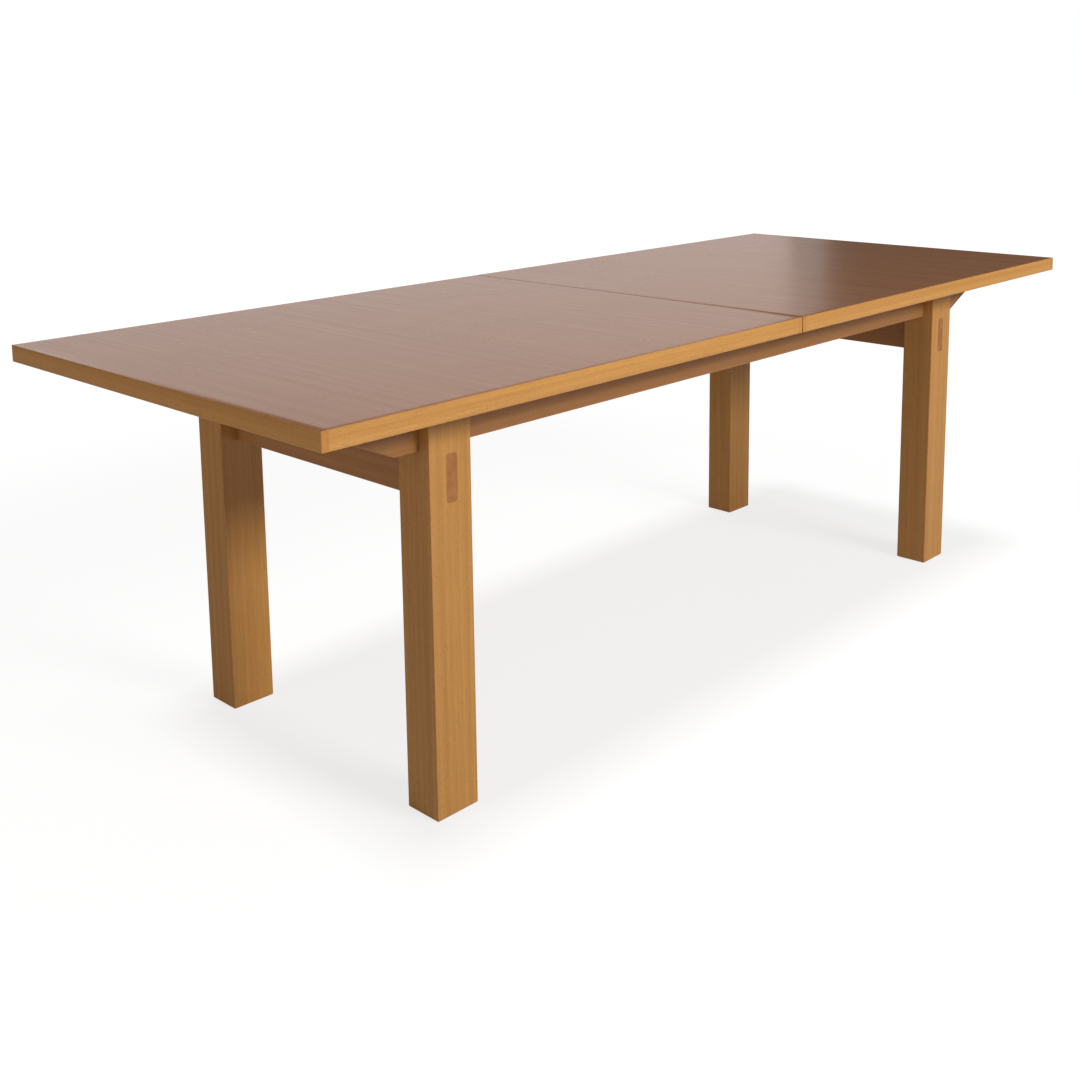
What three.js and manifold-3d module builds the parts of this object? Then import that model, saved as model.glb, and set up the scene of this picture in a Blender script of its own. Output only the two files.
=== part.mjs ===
// Extendable dining table: a fixed four-legged underframe and a top in two halves that slide
// apart on grooved side rails, with a spare leaf stored between the runners.
// Millimetres, +Z up, origin on the floor under the middle of the closed top, +X along the length.
import * as THREE from 'three';
import { mergeVertices } from 'three/addons/utils/BufferGeometryUtils.js';
import Module from 'manifold-3d';

const wasm = await Module();
wasm.setup();

// Overall sizes
const tableLength = 2300;
const tableWidth = 920;
const tableHeight = 740;
const topThickness = 31;

// Clearances
const fitGap = 0.3;          // between fixed pieces that touch
const seamGap = 0.4;         // between the two closed halves
const slideGap = 1;          // between a runner and its rail, all round
const liftGap = 0.5;         // between the top and the frame it slides over

// Top
const lippingWidth = 12;
const dowelRadius = 5;
const dowelProud = 12;       // length that stands out of its own board
const dowelRooted = 26;      // length held in its own board
const dowelEndRoom = 3;      // free depth past a dowel's tip
const dowelSpacing = 330;
const dowelCount = 3;

// Underframe
const endOverhang = 296;     // from the top's end to the leg's end face
const sideOverhang = 126;    // from the top's side to the leg's outer face
const legWidth = 90;         // along X
const legDepth = 75;         // along Y
const cheekThickness = 24;   // the leg's outer cheek, which covers the side rail
const railHeight = 86;
const railThickness = 38;
const railPastLeg = 50;      // flat underside past the leg's end face
const railTaperAngle = THREE.MathUtils.degToRad(24.5);
const railTipHeight = 10;
const endRailHeight = 85;
const endRailThickness = 26;
const endRailSetback = 34.5; // from the leg's end face
const endRailDrop = 6;       // below the side rail's underside
const tenonShoulder = 1.5;   // on each side of the tenon
const tenonEdge = 2;         // above and below the tenon
const tenonCorner = 4;
const bearerWidth = 40;
const bearerHeight = 28;
const bearerRise = 10;       // above the side rail's underside
const bearerHousing = 12;    // depth let into the side rail

// Runners under the top
const runnerThickness = 22;
const runnerHeight = 40;
const runnerOuterInset = 150; // from the top's end
const runnerInnerInset = 12; // from the seam
const tongueDepth = 9;
const tongueHeight = 11;
const tongueDrop = 17;       // from the runner's top to the tongue's top
const stopLength = 20;
const stopInset = 20;        // from the seam
const stopHeight = 27;
const leafClearance = 3;     // on each side of the stored leaf

// Fasteners
const boltShankRadius = 3;
const boltHeadRadius = 6.5;
const boltHeadLength = 6;
const boltBite = 15;         // into the leg's cheek
const boltRise = 25;         // above the side rail's underside
const screwShankRadius = 2;
const screwHeadRadius = 4.5;
const screwHeadLength = 3;
const screwSink = 10;        // head below the runner's underside
const screwBite = 15;        // into the top
const screwInset = 90;       // from the runner's ends
const holeClearance = 0.3;   // added to a fastener's radius

// Top locks, under the side overhang at the seam
const lockFromSide = 65;     // from the top's side to the lock's middle
const lockPlateLength = 40;
const lockPlateWidth = 28;
const lockPlateThickness = 3;
const keeperLength = 30;
const lockPivotFromSeam = 34;
const keeperPinFromSeam = 26;
const lockPinRadius = 4;
const lockHeadRadius = 6.5;
const lockHeadThickness = 2;
const lockPlay = 0.4;        // above and below the lever, and round its pivot
const leverThickness = 4;
const leverWidth = 20;
const leverHookPlay = 1;     // round the keeper's pin in the hook
const leverTip = 9;          // past the hook's slot
const leverHandle = 24;      // behind the pivot
const fingerHoleRadius = 5;
const fingerHoleBack = 16;   // from the pivot to the finger hole

// Places that follow from them
const underside = tableHeight - topThickness;
const frameTop = underside - liftGap;
const railBottom = frameTop - railHeight;
const legEndX = tableLength / 2 - endOverhang;
const legOuterY = tableWidth / 2 - sideOverhang;
const railOuterY = legOuterY - cheekThickness;
const railInnerY = railOuterY - railThickness;
const runnerOuterY = railInnerY - slideGap;
const runnerInnerY = runnerOuterY - runnerThickness;
const runnerTop = underside - fitGap;
const runnerBottom = runnerTop - runnerHeight;
const tongueTop = runnerTop - tongueDrop;
const leafWidth = 2 * (runnerInnerY - leafClearance) - dowelProud;
const travel = leafWidth / 2;
const bearerTop = railBottom + bearerRise + bearerHeight;
const bearerX = stopInset + stopLength + travel + fitGap + bearerWidth / 2;
const endRailTop = railBottom - endRailDrop;
const endRailX = legEndX - endRailSetback - endRailThickness / 2;

const finish = (colour, roughness, metalness = 0) =>
  new THREE.MeshStandardMaterial({ color: colour, roughness, metalness });
const topVeneer = finish(0x9a6f4e, 0.35);
const lipping = finish(0xc4935c, 0.45);
const legWood = finish(0xb67c48, 0.5);
const railWood = finish(0xa8713f, 0.5);
const runnerWood = finish(0xc9a06c, 0.6);
const dowelWood = finish(0xd2ad7c, 0.6);
const zincSteel = finish(0x9a9ca0, 0.35, 1);

const table = new THREE.Group();
table.name = 'extendable_dining_table';

// Solids for cutting and joining
function solidOf(geometry) {
  const bare = geometry.clone();
  bare.deleteAttribute('normal');
  bare.deleteAttribute('uv');
  const merged = mergeVertices(bare, 1e-4);
  return new wasm.Manifold(new wasm.Mesh({
    numProp: 3,
    vertProperties: Float32Array.from(merged.attributes.position.array),
    triVerts: Uint32Array.from(merged.index.array),
  }));
}

function geometryOf(solid) {
  const { vertProperties, triVerts } = solid.getMesh();
  const geometry = new THREE.BufferGeometry();
  geometry.setAttribute('position', new THREE.BufferAttribute(vertProperties, 3));
  geometry.setIndex(new THREE.BufferAttribute(triVerts, 1));
  geometry.computeVertexNormals();
  return geometry;
}

const cut = (solid, tools) => tools.reduce((rest, tool) => rest.subtract(tool), solid);

// A box between two corners, given as [low, high] along each axis
function boxGeometry([x0, x1], [y0, y1], [z0, z1]) {
  return new THREE.BoxGeometry(x1 - x0, y1 - y0, z1 - z0)
    .translate((x0 + x1) / 2, (y0 + y1) / 2, (z0 + z1) / 2);
}

const boxSolid = (xs, ys, zs) => solidOf(boxGeometry(xs, ys, zs));

// An outline drawn in the plane across the axis: (Y, Z) along X, (X, Z) along Y, (X, Y) along Z
function prism(outline, axis, [from, to], curveSegments = 6) {
  const geometry = new THREE.ExtrudeGeometry(outline, {
    depth: to - from, bevelEnabled: false, curveSegments,
  });
  const x = new THREE.Vector3(1, 0, 0);
  const y = new THREE.Vector3(0, 1, 0);
  const z = new THREE.Vector3(0, 0, 1);
  const turn = new THREE.Matrix4();
  if (axis === 'x') geometry.applyMatrix4(turn.makeBasis(y, z, x)).translate(from, 0, 0);
  if (axis === 'y') geometry.applyMatrix4(turn.makeBasis(x, z, y.negate())).translate(0, to, 0);
  if (axis === 'z') geometry.translate(0, 0, from);
  return geometry;
}

function circle(cx, cy, radius) {
  const outline = new THREE.Shape();
  outline.absarc(cx, cy, radius, 0, 2 * Math.PI, false);
  return outline;
}

function roundedRectangle([x0, x1], [y0, y1], radius) {
  const outline = new THREE.Shape();
  outline.moveTo(x0 + radius, y0);
  outline.lineTo(x1 - radius, y0);
  outline.absarc(x1 - radius, y0 + radius, radius, -Math.PI / 2, 0, false);
  outline.lineTo(x1, y1 - radius);
  outline.absarc(x1 - radius, y1 - radius, radius, 0, Math.PI / 2, false);
  outline.lineTo(x0 + radius, y1);
  outline.absarc(x0 + radius, y1 - radius, radius, Math.PI / 2, Math.PI, false);
  outline.lineTo(x0, y0 + radius);
  outline.absarc(x0 + radius, y0 + radius, radius, Math.PI, 1.5 * Math.PI, false);
  return outline;
}

// A round bar along an axis through (a, b), drawn in the same plane as prism's outline
const bar = (a, b, radius, axis, span) => solidOf(prism(circle(a, b, radius), axis, span));

function add(parent, name, shape, material) {
  const geometry = shape instanceof wasm.Manifold ? geometryOf(shape) : shape;
  const mesh = new THREE.Mesh(geometry, material);
  mesh.name = name;
  parent.add(mesh);
  return mesh;
}

const ordered = (a, b) => [Math.min(a, b), Math.max(a, b)];
const sides = [['front', -1], ['back', 1]];
const ends = [['left', -1], ['right', 1]];
const dowelPlaces = Array.from({ length: dowelCount },
  (_, i) => (i - (dowelCount - 1) / 2) * dowelSpacing);

// A board with its underside at z = 0: a veneered panel with a lipping along each edge.
// edgeNames are those of its low-X and high-X lippings; bores are cut from all of its pieces.
function board(parent, prefix, [x0, x1], [y0, y1], edgeNames, bores) {
  const zs = [0, topThickness];
  const innerXs = [x0 + lippingWidth + fitGap, x1 - lippingWidth - fitGap];
  const innerYs = [y0 + lippingWidth + fitGap, y1 - lippingWidth - fitGap];
  const pieces = {
    panel: [innerXs, innerYs],
    [edgeNames[0]]: [[x0, x0 + lippingWidth], [y0, y1]],
    [edgeNames[1]]: [[x1 - lippingWidth, x1], [y0, y1]],
    lipping_front: [innerXs, [y0, y0 + lippingWidth]],
    lipping_back: [innerXs, [y1 - lippingWidth, y1]],
  };
  for (const [name, [xs, ys]] of Object.entries(pieces)) {
    const material = name === 'panel' ? topVeneer : lipping;
    add(parent, `${prefix}_${name}`, cut(boxSolid(xs, ys, zs), bores), material);
  }
}

// Bores for the dowels that join two boards edge to edge; out is +1 or -1 along X
function dowelBores(edgeX, out, depth) {
  const span = ordered(edgeX + out, edgeX - out * depth);
  return dowelPlaces.map((y) => bar(y, topThickness / 2, dowelRadius + holeClearance, 'x', span));
}

function addDowels(parent, prefix, edgeX) {
  dowelPlaces.forEach((y, i) => {
    const dowel = prism(circle(0, 0, dowelRadius), 'x', [edgeX - dowelRooted, edgeX + dowelProud]);
    add(parent, `${prefix}_dowel_${i + 1}`, dowel, dowelWood).position.set(0, y, topThickness / 2);
  });
}

// Screws up through the runner into the top, as [x, y] places seen from below
function screwPlaces(end, side) {
  const y = side * (runnerInnerY + runnerThickness / 2);
  const inner = runnerInnerInset + screwInset;
  const outer = tableLength / 2 - runnerOuterInset - screwInset;
  return [[end * inner, y], [end * outer, y]];
}

function addRunner(parent, endName, end, sideName, side) {
  const outline = new THREE.Shape();
  const tongueY = runnerOuterY + tongueDepth;
  const points = [
    [runnerInnerY, runnerBottom], [runnerOuterY, runnerBottom],
    [runnerOuterY, tongueTop - tongueHeight], [tongueY, tongueTop - tongueHeight],
    [tongueY, tongueTop], [runnerOuterY, tongueTop],
    [runnerOuterY, runnerTop], [runnerInnerY, runnerTop],
  ];
  outline.setFromPoints(points.map(([y, z]) => new THREE.Vector2(side * y, z)));
  const span = ordered(end * runnerInnerInset, end * (tableLength / 2 - runnerOuterInset));
  const holes = screwPlaces(end, side).flatMap(([x, y]) => [
    bar(x, y, screwShankRadius + holeClearance, 'z', [runnerBottom - 1, runnerTop + 1]),
    bar(x, y, screwHeadRadius + holeClearance, 'z', [runnerBottom - 1, runnerBottom + screwSink]),
  ]);
  const runner = cut(solidOf(prism(outline, 'x', span)), holes);
  add(parent, `${endName}_runner_${sideName}`, runner, runnerWood);

  const stopXs = ordered(end * stopInset, end * (stopInset + stopLength));
  const stopYs = ordered(side * runnerInnerY, side * runnerOuterY);
  const stopZs = [runnerBottom - fitGap - stopHeight, runnerBottom - fitGap];
  add(parent, `${endName}_stop_${sideName}`, boxGeometry(stopXs, stopYs, stopZs), runnerWood);

  const headTop = runnerBottom + screwSink - fitGap;
  const headZs = [headTop - screwHeadLength, headTop];
  screwPlaces(end, side).forEach(([x, y], i) => {
    const head = bar(x, y, screwHeadRadius, 'z', headZs);
    const shank = bar(x, y, screwShankRadius, 'z', [headZs[0] + 1, underside + screwBite]);
    add(parent, `${endName}_screw_${sideName}_${i + 1}`, head.add(shank), zincSteel);
  });
}

// One half of the top with its runners, stops and screws
function addTopHalf(endName, end) {
  const half = new THREE.Group();
  table.add(half);
  const edgeX = end * seamGap / 2;
  const depth = end > 0 ? dowelRooted + fitGap : dowelProud + dowelEndRoom;
  const screwBores = sides.flatMap(([, side]) => screwPlaces(end, side)).map(([x, y]) =>
    bar(x, y, screwShankRadius + holeClearance, 'z', [-1, screwBite + fitGap]));
  const bores = [...dowelBores(edgeX, -end, depth), ...screwBores];
  const boardGroup = new THREE.Group();
  boardGroup.position.z = underside;
  half.add(boardGroup);
  const xs = ordered(edgeX, end * tableLength / 2);
  const ys = [-tableWidth / 2, tableWidth / 2];
  const edgeNames = end > 0 ? ['lipping_seam', 'lipping_end'] : ['lipping_end', 'lipping_seam'];
  board(boardGroup, `${endName}_top`, xs, ys, edgeNames, bores);
  if (end > 0) {
    const turned = new THREE.Group();
    turned.rotation.z = Math.PI;
    boardGroup.add(turned);
    addDowels(turned, `${endName}_top`, -edgeX);
  }
  for (const [sideName, side] of sides) addRunner(half, endName, end, sideName, side);
}

// The leaf as it lies in use, then turned a quarter and stored on the bearers
function addLeaf() {
  const leaf = new THREE.Group();
  const halfWidth = leafWidth / 2;
  const bores = [
    ...dowelBores(halfWidth, 1, dowelRooted + fitGap),
    ...dowelBores(-halfWidth, -1, dowelProud + dowelEndRoom),
  ];
  const xs = [-halfWidth, halfWidth];
  const ys = [-tableWidth / 2, tableWidth / 2];
  board(leaf, 'leaf', xs, ys, ['lipping_left', 'lipping_right'], bores);
  addDowels(leaf, 'leaf', halfWidth);
  leaf.rotation.z = Math.PI / 2;
  leaf.position.set(0, -dowelProud / 2, bearerTop + fitGap);
  table.add(leaf);
}

const tenonXs = [-endRailThickness / 2 + tenonShoulder, endRailThickness / 2 - tenonShoulder];
const tenonZs = [endRailTop - endRailHeight + tenonEdge, endRailTop - tenonEdge];

// A rail across the end, whose tenons pass right through both legs
function addEndRail(endName, end) {
  const tenon = roundedRectangle(tenonXs, tenonZs, tenonCorner);
  const bodyYs = [-(legOuterY - legDepth) + fitGap, legOuterY - legDepth - fitGap];
  const bodyXs = [-endRailThickness / 2, endRailThickness / 2];
  const body = boxSolid(bodyXs, bodyYs, [endRailTop - endRailHeight, endRailTop]);
  const rail = body.add(solidOf(prism(tenon, 'y', [-legOuterY, legOuterY])));
  add(table, `${endName}_end_rail`, rail, railWood).position.x = end * endRailX;
}

const boltX = legEndX - legWidth / 2;
const boltZ = railBottom + boltRise;

function addLeg(endName, end, sideName, side) {
  const xs = ordered(end * legEndX, end * (legEndX - legWidth));
  const ys = ordered(side * legOuterY, side * (legOuterY - legDepth));
  const notchYs = ordered(side * railOuterY, side * (legOuterY - legDepth - 1));
  const notch = boxSolid([xs[0] - 1, xs[1] + 1], notchYs, [railBottom - fitGap, frameTop + 1]);
  const mortiseShape = roundedRectangle(
    tenonXs.map((x, i) => end * endRailX + x + (i ? fitGap : -fitGap)),
    tenonZs.map((z, i) => z + (i ? fitGap : -fitGap)), tenonCorner + fitGap);
  const mortise = solidOf(prism(mortiseShape, 'y', [ys[0] - 1, ys[1] + 1]));
  const biteYs = ordered(side * (railOuterY - 1), side * (railOuterY + boltBite + fitGap));
  const boltHole = bar(end * boltX, boltZ, boltShankRadius + holeClearance, 'y', biteYs);
  const leg = cut(boxSolid(xs, ys, [0, frameTop]), [notch, mortise, boltHole]);
  add(table, `${endName}_leg_${sideName}`, leg, legWood);
}

function addLegBolt(endName, end, sideName, side) {
  const headEnd = railInnerY + boltHeadLength;
  const headYs = ordered(side * railInnerY, side * headEnd);
  const shankYs = ordered(side * (headEnd - 1), side * (railOuterY + boltBite));
  const head = bar(end * boltX, boltZ, boltHeadRadius, 'y', headYs);
  const shank = bar(end * boltX, boltZ, boltShankRadius, 'y', shankYs);
  add(table, `${endName}_leg_bolt_${sideName}`, head.add(shank), zincSteel);
}

// A side rail with long tapered ends, grooved inside for the runners' tongues
function addSideRail(sideName, side) {
  const flatX = legEndX + railPastLeg;
  const tipX = flatX + (railHeight - railTipHeight) / Math.tan(railTaperAngle);
  const tipZ = frameTop - railTipHeight;
  const outline = new THREE.Shape([
    [-flatX, railBottom], [flatX, railBottom], [tipX, tipZ],
    [tipX, frameTop], [-tipX, frameTop], [-tipX, tipZ],
  ].map(([x, z]) => new THREE.Vector2(x, z)));
  const outerY = railOuterY - fitGap;
  const body = solidOf(prism(outline, 'y', ordered(side * railInnerY, side * outerY)));

  const grooveYs = ordered(side * (railInnerY - 1), side * (runnerOuterY + tongueDepth + slideGap));
  const grooveZs = [tongueTop - tongueHeight - slideGap, tongueTop + slideGap];
  const tools = [boxSolid([-tipX - 1, tipX + 1], grooveYs, grooveZs)];
  for (const [, end] of ends) {
    const bearerXs = [-1, 1].map((s) => end * bearerX + s * (bearerWidth / 2 + fitGap));
    const housingYs = ordered(side * (railInnerY - 1), side * (railInnerY + bearerHousing));
    const housingZs = [bearerTop - bearerHeight - fitGap, bearerTop + fitGap];
    tools.push(boxSolid(bearerXs, housingYs, housingZs));
    const holeYs = ordered(side * (railInnerY - 1), side * (railOuterY + 1));
    const sinkYs = ordered(side * (railInnerY - 1), side * (railInnerY + boltHeadLength + fitGap));
    tools.push(bar(end * boltX, boltZ, boltShankRadius + holeClearance, 'y', holeYs));
    tools.push(bar(end * boltX, boltZ, boltHeadRadius + holeClearance, 'y', sinkYs));
  }
  add(table, `side_rail_${sideName}`, cut(body, tools), railWood);
}

function addBearer(endName, end) {
  const xs = [end * bearerX - bearerWidth / 2, end * bearerX + bearerWidth / 2];
  const halfLength = railInnerY + bearerHousing - fitGap;
  const zs = [bearerTop - bearerHeight, bearerTop];
  add(table, `${endName}_bearer`, boxGeometry(xs, [-halfLength, halfLength], zs), railWood);
}

// The hook swings in flat under the seam and takes the keeper's pin through its side.
// Drawn with the pivot at the origin and the hook pointing along +X; open is the side of its mouth.
function leverOutline(open) {
  const reach = lockPivotFromSeam + keeperPinFromSeam;
  const slotHalf = lockPinRadius + leverHookPlay;
  const edge = leverWidth / 2;
  const outline = new THREE.Shape([
    [-leverHandle, -edge], [reach - slotHalf, -edge], [reach - slotHalf, slotHalf],
    [reach + slotHalf, slotHalf], [reach + slotHalf, -edge], [reach + slotHalf + leverTip, -edge],
    [reach + slotHalf + leverTip, edge], [-leverHandle, edge],
  ].map(([x, y]) => new THREE.Vector2(x, open * y)));
  outline.holes.push(circle(0, 0, lockPinRadius + lockPlay));
  outline.holes.push(circle(-fingerHoleBack, 0, fingerHoleRadius));
  return outline;
}

function addLock(sideName, side) {
  const lock = new THREE.Group();
  lock.position.set(0, side * (tableWidth / 2 - lockFromSide), underside - fitGap);
  table.add(lock);
  const plateZs = [-lockPlateThickness, 0];
  const plateYs = [-lockPlateWidth / 2, lockPlateWidth / 2];
  const leverTop = -lockPlateThickness - lockPlay;
  const leverBottom = leverTop - leverThickness;
  const headZs = [leverBottom - lockPlay - lockHeadThickness, leverBottom - lockPlay];

  const pivotX = -lockPivotFromSeam;
  const plateXs = [pivotX - lockPlateLength / 2, pivotX + lockPlateLength / 2];
  const plate = boxSolid(plateXs, plateYs, plateZs)
    .add(bar(pivotX, 0, lockPinRadius, 'z', [headZs[0] + 1, -1]))
    .add(bar(pivotX, 0, lockHeadRadius, 'z', headZs));
  add(lock, `lock_plate_${sideName}`, plate, zincSteel);

  const lever = prism(leverOutline(-side), 'z', [leverBottom, leverTop]);
  const leverMesh = add(lock, `lock_lever_${sideName}`, lever, zincSteel);
  leverMesh.position.x = pivotX;
  leverMesh.rotation.z = -side * Math.PI / 2;

  const pinX = keeperPinFromSeam;
  const keeperXs = [pinX - keeperLength / 2, pinX + keeperLength / 2];
  const keeper = boxSolid(keeperXs, plateYs, plateZs)
    .add(bar(pinX, 0, lockPinRadius, 'z', [leverBottom - lockPlay, -1]));
  add(lock, `lock_keeper_${sideName}`, keeper, zincSteel);
}

for (const [endName, end] of ends) {
  addTopHalf(endName, end);
  addEndRail(endName, end);
  addBearer(endName, end);
  for (const [sideName, side] of sides) {
    addLeg(endName, end, sideName, side);
    addLegBolt(endName, end, sideName, side);
  }
}
for (const [sideName, side] of sides) {
  addSideRail(sideName, side);
  addLock(sideName, side);
}
addLeaf();

export default table;
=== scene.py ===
# the extendable dining table: looks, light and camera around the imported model
import math

import bmesh
import bpy
from mathutils import Matrix, Vector


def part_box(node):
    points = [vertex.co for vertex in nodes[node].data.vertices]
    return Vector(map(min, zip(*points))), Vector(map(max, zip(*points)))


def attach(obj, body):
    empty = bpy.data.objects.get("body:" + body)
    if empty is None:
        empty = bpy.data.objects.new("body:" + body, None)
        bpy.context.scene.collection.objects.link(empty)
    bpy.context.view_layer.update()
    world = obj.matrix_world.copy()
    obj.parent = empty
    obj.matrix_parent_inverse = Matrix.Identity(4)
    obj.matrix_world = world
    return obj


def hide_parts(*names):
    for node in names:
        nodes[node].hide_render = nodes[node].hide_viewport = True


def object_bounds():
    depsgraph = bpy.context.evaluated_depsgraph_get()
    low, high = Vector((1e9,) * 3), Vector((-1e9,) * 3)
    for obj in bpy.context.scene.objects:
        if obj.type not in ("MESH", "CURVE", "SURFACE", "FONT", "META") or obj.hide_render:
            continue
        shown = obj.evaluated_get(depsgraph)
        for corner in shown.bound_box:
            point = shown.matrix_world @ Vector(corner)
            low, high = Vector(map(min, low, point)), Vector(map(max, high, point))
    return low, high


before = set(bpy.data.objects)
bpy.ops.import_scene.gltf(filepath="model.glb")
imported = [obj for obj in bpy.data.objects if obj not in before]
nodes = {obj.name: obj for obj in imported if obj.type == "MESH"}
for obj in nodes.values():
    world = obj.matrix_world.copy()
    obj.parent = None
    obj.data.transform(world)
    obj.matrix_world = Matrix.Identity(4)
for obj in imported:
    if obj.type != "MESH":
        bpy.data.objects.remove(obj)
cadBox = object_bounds()
scene = bpy.context.scene
ends = ("left", "right")
sides = ("front", "back")


def rgb(red, green, blue):
    # 0-255 screen colour to the linear colour that shaders want
    channels = [c / 255 for c in (red, green, blue)]
    linear = [c / 12.92 if c < 0.04045 else ((c + 0.055) / 1.055) ** 2.4 for c in channels]
    return (*linear, 1.0)


view = {
    "place": (-2.177, -1.864, 1.189),
    "heading": 45.86,   # degrees from +Y towards +X
    "downward": 9.16,
    "tilt": -0.71,
    "lens": 44.39,
    "shiftY": -0.222,
    "sensorWidth": 36,
    "farClip": 200,
}


def makeCamera(settings):
    camera = bpy.data.objects.new("camera", bpy.data.cameras.new("camera"))
    scene.collection.objects.link(camera)
    turn = Matrix.Rotation(-math.radians(settings["heading"]), 4, "Z")
    lean = Matrix.Rotation(math.radians(90 - settings["downward"]), 4, "X")
    roll = Matrix.Rotation(math.radians(settings["tilt"]), 4, "Z")
    camera.matrix_world = Matrix.Translation(settings["place"]) @ turn @ lean @ roll
    camera.data.lens = settings["lens"]
    camera.data.sensor_width = settings["sensorWidth"]
    camera.data.shift_y = settings["shiftY"]
    camera.data.clip_end = settings["farClip"]
    scene.camera = camera


makeCamera(view)
print("camera placed")


# short calls that make and link shader nodes
class Tree:
    def __init__(self, tree):
        self.tree = tree

    def add(self, kind, settings=None, **inputs):
        node = self.tree.nodes.new(kind)
        for name, value in (settings or {}).items():
            setattr(node, name, value)
        for name, value in inputs.items():
            self.feed(node.inputs[name.replace("_", " ")], value)
        return node

    def feed(self, socket, value):
        if isinstance(value, bpy.types.NodeSocket):
            self.tree.links.new(value, socket)
        elif value is not None:
            socket.default_value = value

    def math(self, operation, first, second=None, third=None, clamp=False):
        node = self.add("ShaderNodeMath", {"operation": operation, "use_clamp": clamp})
        for socket, value in zip(node.inputs, (first, second, third)):
            self.feed(socket, value)
        return node.outputs[0]

    def vector(self, operation, first, second):
        node = self.add("ShaderNodeVectorMath", {"operation": operation})
        self.feed(node.inputs[0], first)
        self.feed(node.inputs[1], second)
        return node.outputs["Value" if operation == "DOT_PRODUCT" else "Vector"]

    def length(self, vector):
        node = self.add("ShaderNodeVectorMath", {"operation": "LENGTH"})
        self.feed(node.inputs[0], vector)
        return node.outputs["Value"]

    def spread(self, value, low, high, newLow=0.0, newHigh=1.0):
        node = self.add("ShaderNodeMapRange", {"clamp": True}, Value=value)
        for name, number in zip(("From Min", "From Max", "To Min", "To Max"),
                                (low, high, newLow, newHigh)):
            self.feed(node.inputs[name], number)
        return node.outputs[0]

    def blend(self, mode, amount, first, second):
        node = self.add("ShaderNodeMix", {"data_type": "RGBA", "blend_type": mode})
        self.feed(node.inputs[0], amount)
        self.feed(node.inputs[6], first)
        self.feed(node.inputs[7], second)
        return node.outputs[2]

    def noise(self, vector, scale, detail=2.0, roughness=0.5, distortion=0.0):
        node = self.add("ShaderNodeTexNoise", {}, Vector=vector, Scale=scale, Detail=detail,
                        Roughness=roughness, Distortion=distortion)
        return node.outputs["Fac"]


def newGroup(name, inputs, outputs):
    group = bpy.data.node_groups.new(name, "ShaderNodeTree")
    for label, kind, default in inputs:
        socket = group.interface.new_socket(label, in_out="INPUT", socket_type=kind)
        socket.default_value = default
    for label, kind in outputs:
        group.interface.new_socket(label, in_out="OUTPUT", socket_type=kind)
    tree = Tree(group)
    return tree, tree.add("NodeGroupInput").outputs, tree.add("NodeGroupOutput").inputs


def placeGroup(tree, group, **inputs):
    node = tree.tree.nodes.new("ShaderNodeGroup")
    node.node_tree = group
    for name, value in inputs.items():
        tree.feed(node.inputs[name.replace("_", " ")], value)
    return node.outputs


floatKind = "NodeSocketFloat"
vectorKind = "NodeSocketVector"


def makeWoodFigure():
    # growth bands, fibres and short dark flecks, on coordinates whose X runs along the grain
    tree, inp, out = newGroup(
        "woodFigure",
        [("Vector", vectorKind, (0, 0, 0)), ("Band Width", floatKind, 0.012),
         ("Waviness", floatKind, 0.004), ("Fleck Amount", floatKind, 1.0)],
        [("Bands", floatKind), ("Fibres", floatKind), ("Flecks", floatKind), ("Height", floatKind)])
    drift = tree.noise(tree.vector("MULTIPLY", inp["Vector"], (1.3, 5.0, 5.0)), 1.0, 3.0)
    sway = tree.math("MULTIPLY", tree.math("SUBTRACT", drift, 0.5), inp["Waviness"])
    swayed = tree.add("ShaderNodeCombineXYZ", {}, X=0.0, Y=sway, Z=sway).outputs[0]
    bent = tree.vector("ADD", inp["Vector"], swayed)
    across = tree.math("DIVIDE", 1.0, inp["Band Width"])
    stretch = tree.add("ShaderNodeCombineXYZ", {}, X=0.7, Y=across, Z=across).outputs[0]
    bands = tree.noise(tree.vector("MULTIPLY", bent, stretch), 1.0, 3.5, 0.62)
    fibres = tree.noise(tree.vector("MULTIPLY", bent, (14.0, 620.0, 620.0)), 1.0, 2.0, 0.6)
    specks = tree.noise(tree.vector("MULTIPLY", bent, (170.0, 1150.0, 1150.0)), 1.0, 1.0)
    flecks = tree.math("MULTIPLY", tree.spread(specks, 0.62, 0.72), inp["Fleck Amount"])
    tree.feed(out["Bands"], tree.spread(bands, 0.28, 0.72))
    tree.feed(out["Fibres"], tree.spread(fibres, 0.25, 0.75))
    tree.feed(out["Flecks"], flecks)
    tree.feed(out["Height"], tree.math("SUBTRACT", fibres, tree.math("MULTIPLY", flecks, 0.7)))
    return tree.tree


def makeBoardTones():
    # each leaf of veneer or strip of solid wood has a tone of its own
    tree, inp, out = newGroup(
        "boardTones",
        [("Vector", vectorKind, (0, 0, 0)), ("Leaf Width", floatKind, 0.15), ("Seed", floatKind, 0.0)],
        [("Tone", floatKind)])
    parts = tree.add("ShaderNodeSeparateXYZ", {}, Vector=inp["Vector"]).outputs
    count = tree.math("FLOOR", tree.math("DIVIDE", parts["Y"], inp["Leaf Width"]))
    number = tree.math("ADD", count, inp["Seed"])
    pick = tree.add("ShaderNodeTexWhiteNoise", {"noise_dimensions": "1D"}, W=number)
    patches = tree.noise(tree.vector("MULTIPLY", inp["Vector"], (1.1, 3.0, 3.0)), 1.0, 2.0)
    tree.feed(out["Tone"], tree.math("ADD", tree.math("MULTIPLY", pick.outputs["Value"], 0.6),
                                     tree.math("MULTIPLY", patches, 0.4)))
    return tree.tree


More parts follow.
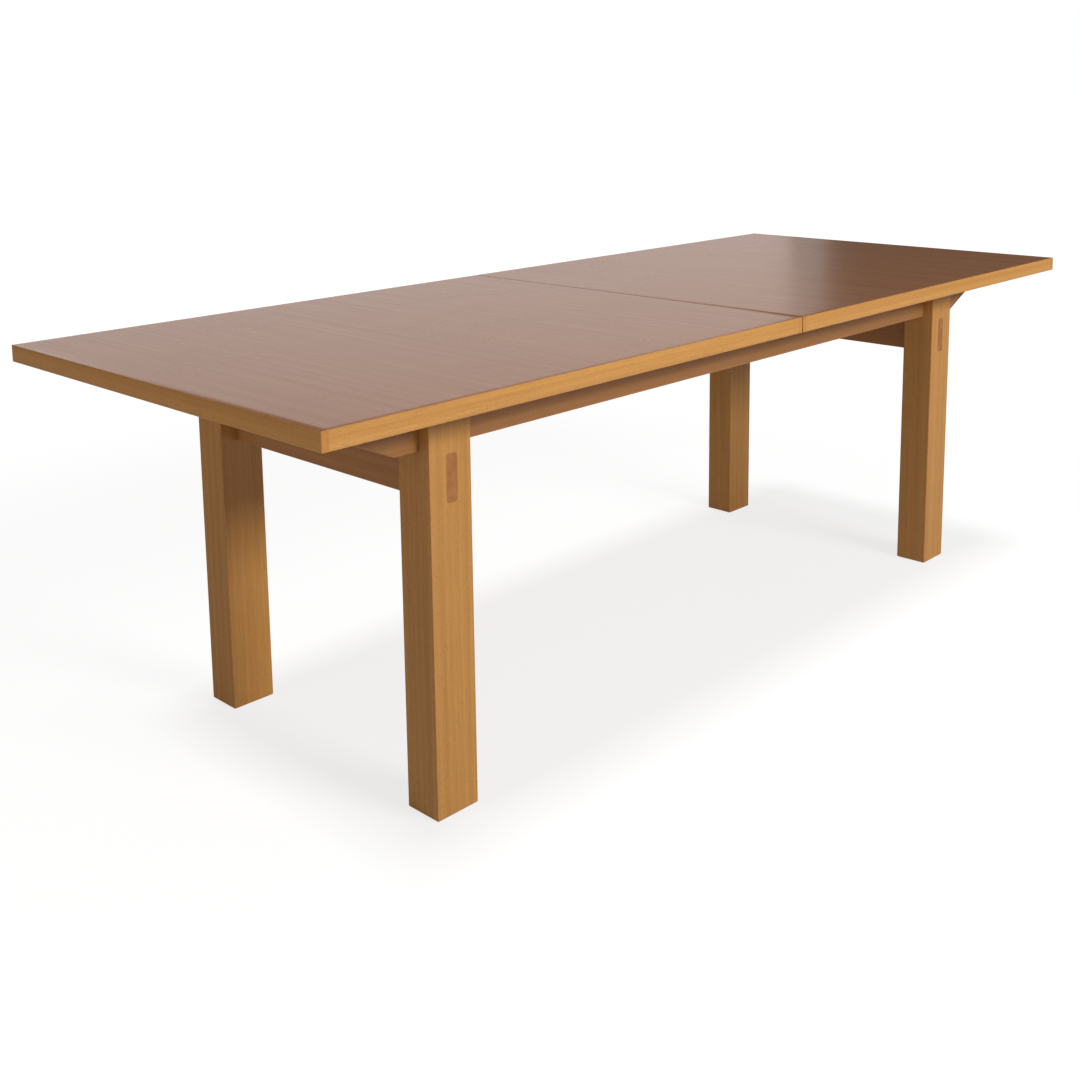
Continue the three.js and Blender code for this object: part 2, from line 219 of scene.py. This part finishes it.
def makeEndGrain():
    # 1 on faces that cut across the grain, 0 on faces along it
    tree, inp, out = newGroup(
        "endGrain", [("Axis", vectorKind, (1, 0, 0))], [("Mask", floatKind)])
    facing = tree.add("ShaderNodeTexCoord").outputs["Normal"]
    along = tree.math("ABSOLUTE", tree.vector("DOT_PRODUCT", facing, inp["Axis"]))
    tree.feed(out["Mask"], tree.spread(along, 0.55, 0.9))
    return tree.tree


def makeEdgeWearAndHighlight():
    # lighter arrises: rubbed by use, and a painted highlight along the rounded edges; broken up by a
    # noise
    tree, inp, out = newGroup(
        "edgeWearAndHighlight",
        [("Vector", vectorKind, (0, 0, 0)), ("Radius", floatKind, 0.003), ("Amount", floatKind, 1.0)],
        [("Mask", floatKind)])
    rounded = tree.add("ShaderNodeBevel", {"samples": 4}, Radius=inp["Radius"]).outputs[0]
    facing = tree.add("ShaderNodeNewGeometry").outputs["Normal"]
    flatness = tree.vector("DOT_PRODUCT", rounded, facing)
    arris = tree.spread(flatness, 0.995, 0.86)
    patches = tree.spread(tree.noise(inp["Vector"], 38.0, 3.0), 0.38, 0.68)
    wornAndLit = tree.math("MULTIPLY", arris, tree.math("MULTIPLY_ADD", patches, 0.7, 0.3))
    tree.feed(out["Mask"], tree.math("MULTIPLY", wornAndLit, inp["Amount"], clamp=True))
    return tree.tree


def makeHandling():
    # where hands and cloths have dulled or polished the lacquer
    tree, inp, out = newGroup(
        "handling",
        [("Vector", vectorKind, (0, 0, 0)), ("Base", floatKind, 0.35), ("Change", floatKind, 0.06)],
        [("Roughness", floatKind)])
    smears = tree.noise(tree.vector("MULTIPLY", inp["Vector"], (3.0, 5.0, 5.0)), 1.0, 4.0, 0.65, 0.6)
    shift = tree.math("MULTIPLY", tree.math("SUBTRACT", smears, 0.5), inp["Change"])
    tree.feed(out["Roughness"], tree.math("MULTIPLY_ADD", shift, 2.0, inp["Base"]))
    return tree.tree


woodFigure = makeWoodFigure()
boardTones = makeBoardTones()
endGrain = makeEndGrain()
edgeWearAndHighlight = makeEdgeWearAndHighlight()
handling = makeHandling()
print("shader groups built")


# order of the axes that puts the grain first, and the direction of the grain
grainOrder = {"x": "XYZ", "y": "YXZ", "z": "ZXY"}
grainAxis = {"x": (1, 0, 0), "y": (0, 1, 0), "z": (0, 0, 1)}


def makeWood(name, look):
    material = bpy.data.materials.new(name)
    material.use_nodes = True
    tree = Tree(material.node_tree)
    shader = material.node_tree.nodes["Principled BSDF"]
    place = tree.add("ShaderNodeTexCoord").outputs["Object"]
    parts = tree.add("ShaderNodeSeparateXYZ", {}, Vector=place).outputs
    order = grainOrder[look["grain"]]
    grain = tree.add("ShaderNodeCombineXYZ", {}, X=parts[order[0]], Y=parts[order[1]],
                     Z=parts[order[2]]).outputs[0]
    figure = placeGroup(tree, woodFigure, Vector=grain, Band_Width=look["bandWidth"],
                        Waviness=look["waviness"], Fleck_Amount=look["flecks"])
    tones = placeGroup(tree, boardTones, Vector=grain, Leaf_Width=look["leafWidth"],
                       Seed=look["seed"])
    sawn = placeGroup(tree, endGrain, Axis=grainAxis[look["grain"]])["Mask"]
    wornAndLit = 0.0
    if look["wear"]:
        wornAndLit = placeGroup(tree, edgeWearAndHighlight, Vector=place, Radius=look["wearRadius"],
                          Amount=look["wear"])["Mask"]

    colour = tree.blend("MIX", figure["Bands"], look["dark"], look["light"])
    fibreShade = tree.spread(figure["Fibres"], 0.0, 1.0, 1 - look["fibreDepth"], 1.0)
    colour = tree.blend("MULTIPLY", 1.0, colour, fibreShade)
    toneShade = tree.spread(tones["Tone"], 0.0, 1.0, 1 - look["toneDepth"], 1.0)
    colour = tree.blend("MULTIPLY", 1.0, colour, toneShade)
    colour = tree.blend("MIX", tree.math("MULTIPLY", figure["Flecks"], look["fleckMix"]), colour,
                        look["fleck"])
    colour = tree.blend("MULTIPLY", sawn, colour, look["sawn"])
    # lighter colour on the arrises: rubbed edges together with a painted highlight
    colour = tree.blend("MIX", tree.math("MULTIPLY", wornAndLit, look["wornAndLitMix"]), colour,
                        look["wornAndLitColour"])
    tree.feed(shader.inputs["Base Color"], colour)

    gloss = placeGroup(tree, handling, Vector=place, Base=look["roughness"],
                       Change=look["roughnessChange"])["Roughness"]
    gloss = tree.math("MULTIPLY_ADD", sawn, look["sawnDulling"], gloss)
    tree.feed(shader.inputs["Roughness"],
              tree.math("MULTIPLY_ADD", wornAndLit, look["wornDulling"], gloss))
    shader.inputs["IOR"].default_value = look["ior"]
    shader.inputs["Coat Weight"].default_value = look["coat"]
    shader.inputs["Coat Roughness"].default_value = look["coatRoughness"]
    if look["bump"]:
        bump = tree.add("ShaderNodeBump", {}, Strength=look["bump"], Distance=look["bumpDepth"],
                        Height=figure["Height"])
        tree.feed(shader.inputs["Normal"], bump.outputs[0])
    return material


plainWood = {
    "grain": "x", "bandWidth": 0.016, "waviness": 0.012, "flecks": 1.0, "leafWidth": 0.4,
    "seed": 3.0, "dark": rgb(190, 133, 74), "light": rgb(212, 155, 92), "fleck": rgb(120, 72, 38),
    "sawn": rgb(226, 208, 198), "wornAndLitColour": rgb(222, 178, 126), "fibreDepth": 0.14,
    "toneDepth": 0.08, "wear": 0.6, "wearRadius": 0.003, "roughness": 0.42,
    "roughnessChange": 0.07, "coat": 0.0, "coatRoughness": 0.25, "bump": 0.12,
    "fleckMix": 0.45, "wornAndLitMix": 0.45, "sawnDulling": 0.12, "wornDulling": 0.08, "ior": 1.47,
    "bumpDepth": 0.0004,
}


def woodLike(**changes):
    return {**plainWood, **changes}


topVeneerLook = woodLike(
    grain="y", leafWidth=0.19, toneDepth=0.05, fibreDepth=0.1, bandWidth=0.013, waviness=0.02,
    dark=rgb(173, 114, 73), light=rgb(192, 135, 92), roughness=0.27, roughnessChange=0.02,
    coat=0.2, coatRoughness=0.16, bump=0.0, flecks=0.0, wear=0.0, seed=11.0)
sideLippingLook = woodLike(
    bandWidth=0.011, dark=rgb(203, 141, 70), light=rgb(224, 164, 89), toneDepth=0.05, seed=5.0,
    leafWidth=0.9, sawn=rgb(250, 242, 232))
endLippingLook = {**sideLippingLook, "grain": "y", "seed": 9.0}
legLook = woodLike(
    grain="z", bandWidth=0.014, seed=21.0, leafWidth=0.31, dark=rgb(191, 133, 65),
    light=rgb(213, 155, 82))
sideRailLook = woodLike(
    bandWidth=0.018, waviness=0.02, seed=31.0, dark=rgb(170, 114, 62), light=rgb(191, 135, 78),
    sawn=rgb(252, 240, 238))
endRailLook = {**sideRailLook, "grain": "y", "seed": 37.0}
runnerLook = woodLike(
    dark=rgb(196, 154, 104), light=rgb(214, 175, 126), roughness=0.6, bump=0.25, seed=41.0)
dowelLook = {**runnerLook, "seed": 43.0, "bandWidth": 0.004}
leafDowelLook = {**dowelLook, "grain": "y"}
creviceDustAndShadeLook = woodLike(grain="y", dark=rgb(112, 70, 40), light=rgb(128, 84, 50))

topVeneer = makeWood("topVeneer", topVeneerLook)
leafVeneer = makeWood("leafVeneer", {**topVeneerLook, "grain": "x", "seed": 15.0})
sideLipping = makeWood("sideLipping", sideLippingLook)
endLipping = makeWood("endLipping", endLippingLook)
# dust and painted shade darkening the crevice of the seam
seamDustAndPaintedShade = makeWood("seamDustAndPaintedShade", creviceDustAndShadeLook)
legWood = makeWood("legWood", legLook)
sideRailWood = makeWood("sideRailWood", sideRailLook)
endRailWood = makeWood("endRailWood", endRailLook)
runnerWood = makeWood("runnerWood", runnerLook)
dowelWood = makeWood("dowelWood", dowelLook)
leafDowelWood = makeWood("leafDowelWood", leafDowelLook)


zincLook = {
    "dark": rgb(150, 152, 156), "light": rgb(196, 198, 200), "roughness": 0.34,
    "roughnessChange": 0.08, "wornAndLitColour": rgb(222, 222, 224), "cloudScale": 160.0,
    "wear": 0.8, "wearRadius": 0.0008, "smearScale": (9, 9, 9), "scratchScale": (2400, 90, 2400),
    "bump": 0.1, "bumpDepth": 0.0001,
}


def makeZinc(look):
    material = bpy.data.materials.new("zincSteel")
    material.use_nodes = True
    tree = Tree(material.node_tree)
    shader = material.node_tree.nodes["Principled BSDF"]
    place = tree.add("ShaderNodeTexCoord").outputs["Object"]
    clouds = tree.noise(place, look["cloudScale"], 4.0, 0.6)
    colour = tree.blend("MIX", tree.spread(clouds, 0.3, 0.7), look["dark"], look["light"])
    wornAndLit = placeGroup(tree, edgeWearAndHighlight, Vector=place, Radius=look["wearRadius"],
                      Amount=look["wear"])["Mask"]
    # lighter colour on the arrises: rubbed plating together with a painted highlight
    tree.feed(shader.inputs["Base Color"], tree.blend("MIX", wornAndLit, colour, look["wornAndLitColour"]))
    gloss = placeGroup(tree, handling, Vector=tree.vector("MULTIPLY", place, look["smearScale"]),
                       Base=look["roughness"], Change=look["roughnessChange"])["Roughness"]
    tree.feed(shader.inputs["Roughness"], gloss)
    shader.inputs["Metallic"].default_value = 1.0
    scratches = tree.noise(tree.vector("MULTIPLY", place, look["scratchScale"]), 1.0, 2.0)
    bump = tree.add("ShaderNodeBump", {}, Strength=look["bump"], Distance=look["bumpDepth"],
                    Height=scratches)
    tree.feed(shader.inputs["Normal"], bump.outputs[0])
    return material


zincSteel = makeZinc(zincLook)
print("materials made")


def dress(node, material):
    nodes[node].data.materials.clear()
    nodes[node].data.materials.append(material)


for end in ends:
    dress(f"{end}_top_panel", topVeneer)
    dress(f"{end}_end_rail", endRailWood)
    dress(f"{end}_bearer", endRailWood)
    for side in sides:
        dress(f"{end}_leg_{side}", legWood)
        dress(f"{end}_leg_bolt_{side}", zincSteel)
        dress(f"{end}_runner_{side}", runnerWood)
        dress(f"{end}_stop_{side}", runnerWood)
        for number in (1, 2):
            dress(f"{end}_screw_{side}_{number}", zincSteel)
for side in sides:
    dress(f"side_rail_{side}", sideRailWood)
    for part in ("plate", "lever", "keeper"):
        dress(f"lock_{part}_{side}", zincSteel)
    dress(f"leaf_lipping_{side}", endLipping)
for end in ends:
    dress(f"leaf_lipping_{end}", sideLipping)
dress("leaf_panel", leafVeneer)
for number in (1, 2, 3):
    dress(f"right_top_dowel_{number}", dowelWood)
    dress(f"leaf_dowel_{number}", leafDowelWood)


# eased arrises on the solid wooden and steel pieces
easing = {
    "leg": 0.0025, "rail": 0.002, "stop": 0.0012, "steel": 0.0004,   # widths in metres
    "segments": 3, "sharpAngle": 40, "flatAngle": 1, "weld": 0.00001,
}
touch = 0.0002   # points nearer than this count as on the same plane


def easeEdges(node, width, onArris=None):
    # onArris(point) picks the corners whose edges are eased; without it every sharp edge is
    piece = nodes[node]
    weld = piece.modifiers.new("weld", "WELD")
    weld.merge_threshold = easing["weld"]
    flat = piece.modifiers.new("flat", "DECIMATE")
    flat.decimate_type = "DISSOLVE"
    flat.angle_limit = math.radians(easing["flatAngle"])
    bevel = piece.modifiers.new("ease", "BEVEL")
    bevel.width = width
    bevel.segments = easing["segments"]
    if onArris:
        group = piece.vertex_groups.new(name="arris")
        picked = [v.index for v in piece.data.vertices if onArris(v.co)]
        group.add(picked, 1.0, "REPLACE")
        bevel.limit_method = "VGROUP"
        bevel.vertex_group = "arris"
    else:
        bevel.limit_method = "ANGLE"
        bevel.angle_limit = math.radians(easing["sharpAngle"])


def near(value, *targets):
    return any(abs(value - target) < touch for target in targets)


def legArris(node):
    low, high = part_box(node)
    return lambda p: near(p.x, low.x, high.x) and near(p.y, low.y, high.y)


def railArris(node):
    # every corner of the outline seen from the side, but not those of the groove and housings
    low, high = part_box(node)
    return lambda p: near(p.y, low.y, high.y) and (near(p.z, low.z, high.z) or near(p.x, low.x, high.x))


def endRailArris(node):
    low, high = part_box(node)
    return lambda p: near(p.x, low.x, high.x) and near(p.z, low.z, high.z)


for end in ends:
    easeEdges(f"{end}_end_rail", easing["rail"], endRailArris(f"{end}_end_rail"))
    easeEdges(f"{end}_bearer", easing["rail"])
    for side in sides:
        easeEdges(f"{end}_leg_{side}", easing["leg"], legArris(f"{end}_leg_{side}"))
        easeEdges(f"{end}_stop_{side}", easing["stop"])
for side in sides:
    easeEdges(f"side_rail_{side}", easing["rail"], railArris(f"side_rail_{side}"))
    for part in ("plate", "lever", "keeper"):
        easeEdges(f"lock_{part}_{side}", easing["steel"])
print("arrises eased")


# lippings of the top, rounded only where they meet the air
lipping = {
    "radius": 0.0015, "segments": 4, "smoothAngle": 35,
    "closeUp": 0.00025,    # how far a glued side grows towards its neighbour
    "seamFace": 0.0002,    # distance of each half's meeting face from the middle
    "nearSeam": 0.002,
}
topLow, topHigh = cadBox
socket = {"clearance": 0.0003, "depth": 0.06, "segments": 32}


def lippingPiece(node, body, material, isOuter):
    low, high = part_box(node)
    for axis in (0, 1):
        # towards the panel and the other lippings only, so that the glue lines stay fine
        if not near(low[axis], topLow[axis], lipping["seamFace"]):
            low[axis] -= lipping["closeUp"]
        if not near(high[axis], topHigh[axis], -lipping["seamFace"]):
            high[axis] += lipping["closeUp"]
    mesh = bmesh.new()
    bmesh.ops.create_cube(mesh, size=1.0)
    for vertex in mesh.verts:
        for axis in range(3):
            vertex.co[axis] = high[axis] if vertex.co[axis] > 0 else low[axis]
    arrises = [e for e in mesh.edges if isOuter((e.verts[0].co + e.verts[1].co) / 2)]
    bmesh.ops.bevel(mesh, geom=arrises, offset=lipping["radius"], segments=lipping["segments"],
                    profile=0.5, affect="EDGES")
    bmesh.ops.recalc_face_normals(mesh, faces=mesh.faces)
    data = bpy.data.meshes.new(f"{node}_rounded")
    mesh.to_mesh(data)
    mesh.free()
    for polygon in data.polygons:
        polygon.use_smooth = True
    data.set_sharp_from_angle(angle=math.radians(lipping["smoothAngle"]))
    data.materials.append(material)
    data.materials.append(topVeneer)
    data.materials.append(seamDustAndPaintedShade)
    for polygon in data.polygons:
        # the face veneer runs out over the lippings
        if polygon.normal.z > 0.95:
            polygon.material_index = 1
        # the rounded faces at the seam take the darker crevice colour: dust and painted shade
        elif atSeam(polygon.center) and 0.1 < abs(polygon.normal.x) < 0.98:
            polygon.material_index = 2
    piece = bpy.data.objects.new(f"{node}_rounded", data)
    scene.collection.objects.link(piece)
    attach(piece, body)
    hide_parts(node)
    return piece


def drill(piece, dowels):
    # sockets for the dowels that stand out of the other half
    for low, high in dowels:
        mesh = bmesh.new()
        radius = (high.z - low.z) / 2 + socket["clearance"]
        bmesh.ops.create_cone(mesh, cap_ends=True, segments=socket["segments"], radius1=radius,
                              radius2=radius, depth=socket["depth"])
        turn = Matrix.Translation((low + high) / 2) @ Matrix.Rotation(math.pi / 2, 4, "Y")
        bmesh.ops.transform(mesh, matrix=turn, verts=mesh.verts)
        data = bpy.data.meshes.new("drillBit")
        mesh.to_mesh(data)
        mesh.free()
        bit = bpy.data.objects.new("drillBit", data)
        scene.collection.objects.link(bit)
        hole = piece.modifiers.new("socket", "BOOLEAN")
        hole.operation = "DIFFERENCE"
        hole.object = bit
        bpy.context.view_layer.update()
        drilled = piece.evaluated_get(bpy.context.evaluated_depsgraph_get())
        solid = bpy.data.meshes.new_from_object(drilled)
        piece.modifiers.clear()
        piece.data = solid
        bpy.data.objects.remove(bit)


def atSide(point):
    return near(point.y, topLow.y, topHigh.y)


def atEnd(point):
    return near(point.x, topLow.x, topHigh.x)


def atSeam(point):
    return abs(point.x) < lipping["nearSeam"]


def notLevel(point, node):
    low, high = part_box(node)
    return near(point.z, low.z, high.z)


for end in ends:
    body = f"{end}_top"
    for side in sides:
        node = f"{end}_top_lipping_{side}"
        lippingPiece(node, body, sideLipping, lambda p: atSide(p) and notLevel(p, node))
    node = f"{end}_top_lipping_end"
    lippingPiece(node, body, endLipping, lambda p: atEnd(p) or (atSide(p) and notLevel(p, node)))
    node = f"{end}_top_lipping_seam"
    seam = lippingPiece(node, body, endLipping,
                        lambda p: atSeam(p) or (atSide(p) and notLevel(p, node)))
    if end == "left":
        drill(seam, [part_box(f"right_top_dowel_{number}") for number in (1, 2, 3)])
print("lippings rounded")


floorLook = {
    "size": 160.0, "height": -0.0005, "roughness": 0.9,
    "seen": rgb(120, 120, 120), "felt": rgb(214, 214, 214),   # tone to the camera, tone to other rays
    "glowSeen": 0.9, "glowFelt": 0.04, "farEdge": (1.6, 4.5), "farGlow": 0.1,
    "shade": 0.125, "shadeCentre": (0.07, -0.03, 0.0), "shadeHalf": (1.02, 0.38), "shadeSoft": 0.07,
}


def makeFloor(look):
    mesh = bmesh.new()
    bmesh.ops.create_grid(mesh, x_segments=1, y_segments=1, size=look["size"] / 2)
    data = bpy.data.meshes.new("floor")
    mesh.to_mesh(data)
    mesh.free()
    floor = bpy.data.objects.new("floor", data)
    floor.location.z = look["height"]
    scene.collection.objects.link(floor)
    material = bpy.data.materials.new("paleFloor")
    material.use_nodes = True
    shader = material.node_tree.nodes["Principled BSDF"]
    shader.inputs["Roughness"].default_value = look["roughness"]
    shader.inputs["Emission Color"].default_value = (1, 1, 1, 1)
    # a white sweep: lit from within where it is seen, an ordinary pale floor to every other ray
    tree = Tree(material.node_tree)
    seen = tree.add("ShaderNodeLightPath").outputs["Is Camera Ray"]
    tree.feed(shader.inputs["Base Color"], tree.blend("MIX", seen, look["felt"], look["seen"]))
    place = tree.add("ShaderNodeTexCoord").outputs["Object"]
    far = tree.spread(tree.length(place), *look["farEdge"], 0.0, look["farGlow"])
    # a painted pool of shadow between the legs: the glow is lowered in a soft-edged box
    centred = tree.vector("SUBTRACT", place, look["shadeCentre"])
    parts = tree.add("ShaderNodeSeparateXYZ", {}, Vector=centred).outputs
    shade = look["shade"]
    for axis, half in zip("XY", look["shadeHalf"]):
        inside = tree.spread(tree.math("ABSOLUTE", parts[axis]), half + look["shadeSoft"],
                             half - look["shadeSoft"])
        shade = tree.math("MULTIPLY", inside, shade)
    glow = tree.math("SUBTRACT", tree.math("ADD", far, look["glowSeen"] - look["glowFelt"]), shade)
    tree.feed(shader.inputs["Emission Strength"],
              tree.math("MULTIPLY_ADD", seen, glow, look["glowFelt"]))
    data.materials.append(material)


makeFloor(floorLook)


lights = {
    "key": {"place": (0.6, -5.7, 3.3), "aim": (0.0, 0.0, 0.5), "size": (2.6, 1.3), "power": 300,
            "glossy": False},
    "endFill": {"place": (-6.5, 0.6, 1.7), "aim": (-0.8, 0.0, 0.5), "size": (4.0, 3.0), "power": 62,
                "colour": (1.0, 0.88, 0.76)},
    "overhead": {"place": (0.0, 0.0, 5.0), "aim": (0.0, 0.0, 0.0), "size": (5.0, 4.0), "power": 25},
    "whiteCard": {"place": (5.3, 9.4, 2.4), "aim": (0.0, 0.0, 1.2), "size": (12.0, 4.6), "power": 143,
                  "colour": (1.0, 0.87, 0.83)},
    "stripCard": {"place": (10.5, 6.2, 2.4), "aim": (0.0, 0.0, 1.2), "size": (0.3, 4.6), "power": 1.6},
}
surround = {"seen": 1.0, "onWood": 0.11, "reflected": 0.05}


def makeLight(name, settings):
    data = bpy.data.lights.new(name, "AREA")
    data.shape = "RECTANGLE"
    data.size, data.size_y = settings["size"]
    data.energy = settings["power"]
    data.color = settings.get("colour", (1.0, 1.0, 1.0))
    light = bpy.data.objects.new(name, data)
    light.location = settings["place"]
    towards = Vector(settings["aim"]) - Vector(settings["place"])
    light.rotation_euler = towards.to_track_quat("-Z", "Y").to_euler()
    light.visible_camera = False
    light.visible_glossy = settings.get("glossy", True)
    scene.collection.objects.link(light)


def makeSurround(settings):
    world = bpy.data.worlds.new("studio")
    world.use_nodes = True
    scene.world = world
    tree = Tree(world.node_tree)
    ray = tree.add("ShaderNodeLightPath").outputs
    strength = tree.math("MULTIPLY_ADD", ray["Is Camera Ray"],
                         settings["seen"] - settings["onWood"], settings["onWood"])
    strength = tree.math("MULTIPLY_ADD", ray["Is Glossy Ray"],
                         settings["reflected"] - settings["onWood"], strength)
    background = world.node_tree.nodes["Background"]
    background.inputs["Color"].default_value = (1, 1, 1, 1)
    tree.feed(background.inputs["Strength"], strength)


for lightName, lightSettings in lights.items():
    makeLight(lightName, lightSettings)
makeSurround(surround)
scene.view_settings.view_transform = "Standard"
print("floor and light made")
